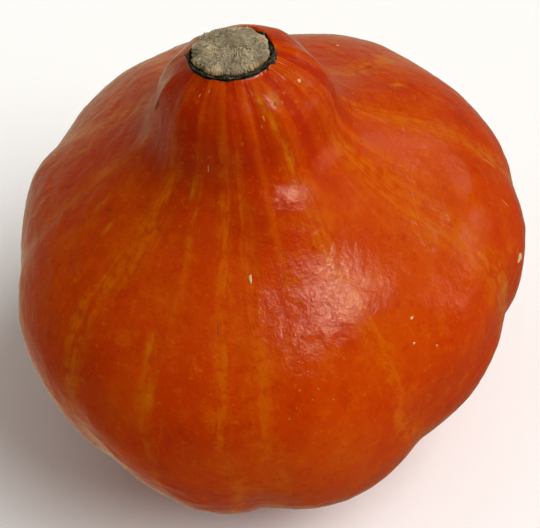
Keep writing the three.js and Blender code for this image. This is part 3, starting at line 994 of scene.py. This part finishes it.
# The cork's pattern: how its fibres and fans are drawn out, patches and flecks to a metre, and the depth
# in metres of the fibres and the flecks
FIBRES_DRAWN = (17.0, 17.0, 2.2)
FANS_DRAWN = (2.6, 2.6, 1.3)
CORK_PATCHES = 190.0
CORK_FLECKS = 520.0
FIBRE_DEPTH = 0.0004
FLECK_DEPTH = 0.00025


def cork_material():
    """Dry cork: grey-tan with paler fibres, grey fans and patches, ochre flecks, an ochre edge, painted
    highlight on its raised relief and painted shade in its grooves."""
    paint = Paint("cork")
    place = paint.place()
    spoke = paint.kept("spoke", "Vector")
    ridges = paint.kept("relief")
    edge = paint.kept("edge")
    fibres = paint.noise(paint.stretch(spoke, FIBRES_DRAWN), 1.0, 5.0, 0.66, 0.35)
    patches = paint.noise(place, CORK_PATCHES, 4.0, 0.65, 0.5)
    flecks = paint.noise(place, CORK_FLECKS, 4.0, 0.75, 0.8)
    tone = paint.mix(paint.step(fibres, 0.38, 0.64), CORK_GREY, CORK_LIGHT)
    fans = paint.noise(paint.stretch(spoke, FANS_DRAWN), 1.0, 3.0, 0.6, 0.4)
    tone = paint.mix(paint.step(fans, 0.54, 0.42, 0.0, 0.65), tone, CORK_GREY)
    tone = paint.mix(paint.step(patches, 0.54, 0.40, 0.0, 0.5), tone, CORK_GREY)
    # Painted highlight: where the cork's relief stands up, it is painted paler, as if lit
    tone = paint.mix(paint.step(ridges, 0.06, 0.34, 0.0, 0.7), tone, CORK_LIGHT)
    tone = paint.mix(paint.step(flecks, 0.57, 0.68, 0.0, 0.8), tone, CORK_OCHRE)
    tone = paint.mix(paint.step(flecks, 0.40, 0.30, 0.0, 0.6), tone, CORK_DARK)
    # Painted shade: where the cork's relief sinks into creases and grooves, it is painted dark
    tone = paint.mix(paint.step(ridges, -0.1, -0.4, 0.0, 0.6), tone, CORK_DARK)
    ochre_edge = paint.combine("MULTIPLY", edge, paint.step(flecks, 0.45, 0.6, 0.1, 0.7))
    tone = paint.mix(ochre_edge, tone, CORK_OCHRE)
    normal = paint.bump(fibres, 0.8, FIBRE_DEPTH)
    normal = paint.bump(flecks, 0.8, FLECK_DEPTH, normal)
    return paint.finish(Base_Color=tone, Roughness=0.85, Normal=normal, Specular_IOR_Level=0.1)


# The collar's creases to a metre, and their depth in metres
COLLAR_CREASES = 700.0
CREASE_DEPTH = 0.0003


def collar_material():
    """Dried stem skin: green-black, creased, and glossy on its lumps."""
    paint = Paint("collar")
    creases = paint.noise(paint.place(), COLLAR_CREASES, 4.0, 0.6, 0.6)
    tone = paint.mix(paint.step(creases, 0.4, 0.7), COLLAR_BLACK, COLLAR_GREEN)
    normal = paint.bump(creases, 0.8, CREASE_DEPTH)
    rough = paint.step(creases, 0.3, 0.7, 0.28, 0.6)
    return paint.finish(Base_Color=tone, Roughness=rough, Normal=normal)


def carry(piece, node, material):
    """Sets a finished piece on the object's one body with its material, in the place of its node if any."""
    piece.data.materials.append(material)
    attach(piece, "root")
    if node:
        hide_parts(node)


rind, fit = make_rind()
carry(rind, "fruit", rind_material())
carry(make_cork(fit), "stem_cork", cork_material())
carry(make_collar(fit), "stem_collar", collar_material())
carry(make_specks(fit), None, speck_material())

# The camera stands where the photograph was taken from. It looks at a point given in the formula's
# millimetres. The distance and the clip ends are in metres.
CAMERA_TARGET = (-5.8, 0.0, 68.2)
CAMERA_DISTANCE = 0.56
CAMERA_ELEVATION = 50.5
CAMERA_LENS = 105.67
CAMERA_CLIP = (0.02, 30.0)


def make_camera():
    """A camera in front of the fruit, looking down at it."""
    data = bpy.data.cameras.new("camera")
    data.lens = CAMERA_LENS
    data.clip_start, data.clip_end = CAMERA_CLIP
    camera = bpy.data.objects.new("camera", data)
    lift = math.radians(CAMERA_ELEVATION)
    back = Vector((0, -math.cos(lift), math.sin(lift)))
    camera.location = Vector(fit(np.array(CAMERA_TARGET)) * MM) + CAMERA_DISTANCE * back
    camera.rotation_mode = "QUATERNION"
    camera.rotation_quaternion = (-back).to_track_quat("-Z", "Y")
    bpy.context.scene.collection.objects.link(camera)
    bpy.context.scene.camera = camera


# Windows, which the skin only mirrors: azimuth, elevation, roll, distance, width, height, power
WINDOWS = {
    "window": (69, 51, 35, 1.0, 0.28, 0.18, 13.5),
    "right_window": (99, 6, 0, 1.0, 0.13, 0.15, 0.9),
    "far_window": (128, 20, 0, 1.0, 0.13, 0.11, 0.8),
}
WINDOW_COLOUR = (1.0, 0.86, 0.64)

# Wide even lights that only brighten and aren't mirrored: azimuth, elevation, width of the disc, strength
DAYLIGHT = {
    "side_light": (83, 48, 60, 3.05),
    "top_light": (0, 88, 90, 0.8),
    "left_light": (-95, 15, 90, 0.15),
}
DAYLIGHT_DISTANCE = 2.0
LIGHT_TARGET = (0, 0, 0.09)

# The floor and the sky. The sky is faint but for the side where the pale ground is brightest, and grows
# towards it between two cosines of the angle to it.
FLOOR_HALF_WIDTH = 4.0
FLOOR_COLOUR = (0.92, 0.915, 0.905)
SKY_COLOUR = (1.0, 0.91, 0.60)
SKY_FAINT = 0.08
SKY_BRIGHT = 0.62
SKY_BRIGHTEST = (-0.45, 0.78, -0.42)
SKY_GROWS = (0.42, 1.0)


def place_light(name, data, azimuth, elevation, distance, roll=0.0):
    """Puts a lamp at a direction and distance from the fruit, facing it, and rolls it on its own axis."""
    lamp = bpy.data.objects.new(name, data)
    turn, lift = math.radians(azimuth), math.radians(elevation)
    way = Vector((math.sin(turn) * math.cos(lift), -math.cos(turn) * math.cos(lift), math.sin(lift)))
    lamp.location = Vector(LIGHT_TARGET) + distance * way
    lamp.rotation_mode = "QUATERNION"
    lamp.rotation_quaternion = (-way).to_track_quat("-Z", "Y") @ Quaternion((0, 0, 1), math.radians(roll))
    bpy.context.scene.collection.objects.link(lamp)
    return lamp


def make_window(name, azimuth, elevation, roll, distance, width, height, power):
    """A soft rectangle of light."""
    data = bpy.data.lights.new(name, "AREA")
    data.shape = "RECTANGLE"
    data.size, data.size_y = width, height
    data.energy = power
    data.color = WINDOW_COLOUR
    place_light(name, data, azimuth, elevation, distance, roll).visible_diffuse = False


def make_daylight(name, azimuth, elevation, disc, strength):
    """A wide disc of light, left out of reflections."""
    data = bpy.data.lights.new(name, "SUN")
    data.angle = math.radians(disc)
    data.energy = strength
    place_light(name, data, azimuth, elevation, DAYLIGHT_DISTANCE).visible_glossy = False


def make_floor():
    """A plain pale floor, wide enough to fill every view from above."""
    half = FLOOR_HALF_WIDTH
    mesh = bpy.data.meshes.new("floor")
    corners = [(-half, -half, 0), (half, -half, 0), (half, half, 0), (-half, half, 0)]
    mesh.from_pydata(corners, [], [(0, 1, 2, 3)])
    floor = bpy.data.objects.new("floor", mesh)
    floor.visible_glossy = False
    bpy.context.scene.collection.objects.link(floor)
    paint = Paint("floor")
    mesh.materials.append(paint.finish(Base_Color=FLOOR_COLOUR, Roughness=0.7, Specular_IOR_Level=0.1))


def make_sky():
    """A faint pale light from everywhere, which grows towards the pale ground at the back left."""
    world = bpy.data.worlds.new("studio")
    world.use_nodes = True
    nodes, links = world.node_tree.nodes, world.node_tree.links
    along = nodes.new("ShaderNodeVectorMath")
    along.operation = "DOT_PRODUCT"
    along.inputs[1].default_value = SKY_BRIGHTEST
    links.new(nodes.new("ShaderNodeTexCoord").outputs["Generated"], along.inputs[0])
    grow = nodes.new("ShaderNodeMapRange")
    grow.interpolation_type = "SMOOTHSTEP"
    for socket, number in zip(grow.inputs[1:5], (*SKY_GROWS, SKY_FAINT, SKY_BRIGHT)):
        socket.default_value = number
    links.new(along.outputs["Value"], grow.inputs["Value"])
    background = nodes["Background"]
    background.inputs["Color"].default_value = (*SKY_COLOUR, 1)
    links.new(grow.outputs["Result"], background.inputs["Strength"])
    bpy.context.scene.world = world


make_camera()
make_floor()
make_sky()
for name, setting in DAYLIGHT.items():
    make_daylight(name, *setting)
for name, setting in WINDOWS.items():
    make_window(name, *setting)
bpy.context.scene.view_settings.view_transform = "Standard"
